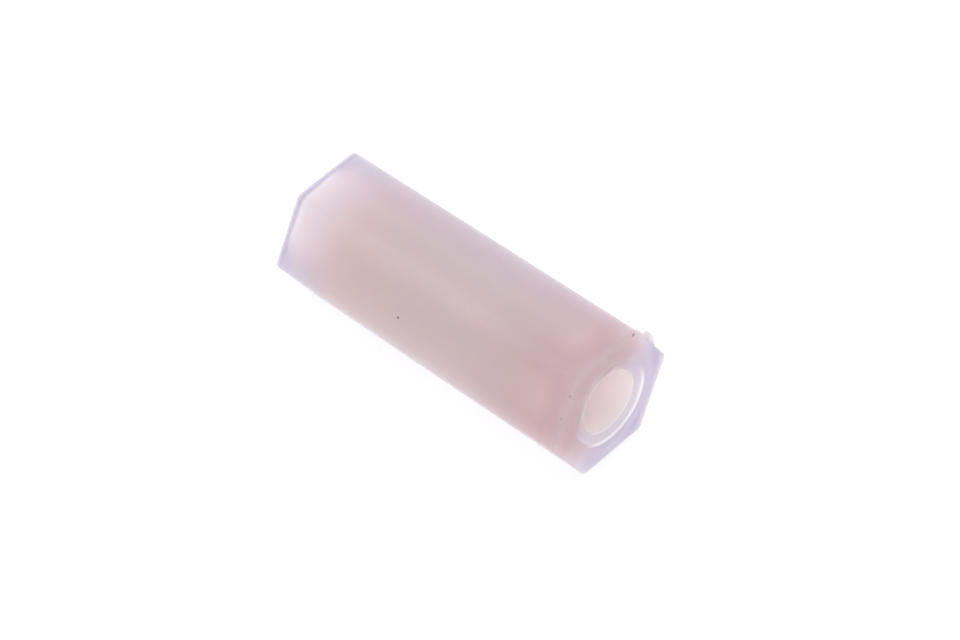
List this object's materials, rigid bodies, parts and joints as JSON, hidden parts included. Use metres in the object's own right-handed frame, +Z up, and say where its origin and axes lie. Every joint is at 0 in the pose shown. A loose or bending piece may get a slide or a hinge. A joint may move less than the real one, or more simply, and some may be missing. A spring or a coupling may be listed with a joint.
{
  "type": "hex standoff",
  "caption": "Moulded hexagonal nylon standoff with a threaded hole in each end, lying on one flat.",
  "frame": {"origin": "middle of the bounding box's underside: below the bore's midpoint, level with the lowest edge of the flat it lies on", "axes": "+X along the bore towards the larger end, which carries the gate remnant; +Z up, square to the bore; +Y across the flats' corners, so the gate remnant is on the +Y side"},
  "size_m": [0.016, 0.0068, 0.006],
  "materials": {
    "natural_nylon": "milky, translucent, satin as moulded"
  },
  "bodies": {
    "root": {"standoff": "natural_nylon"}
  },
  "joints": []
}
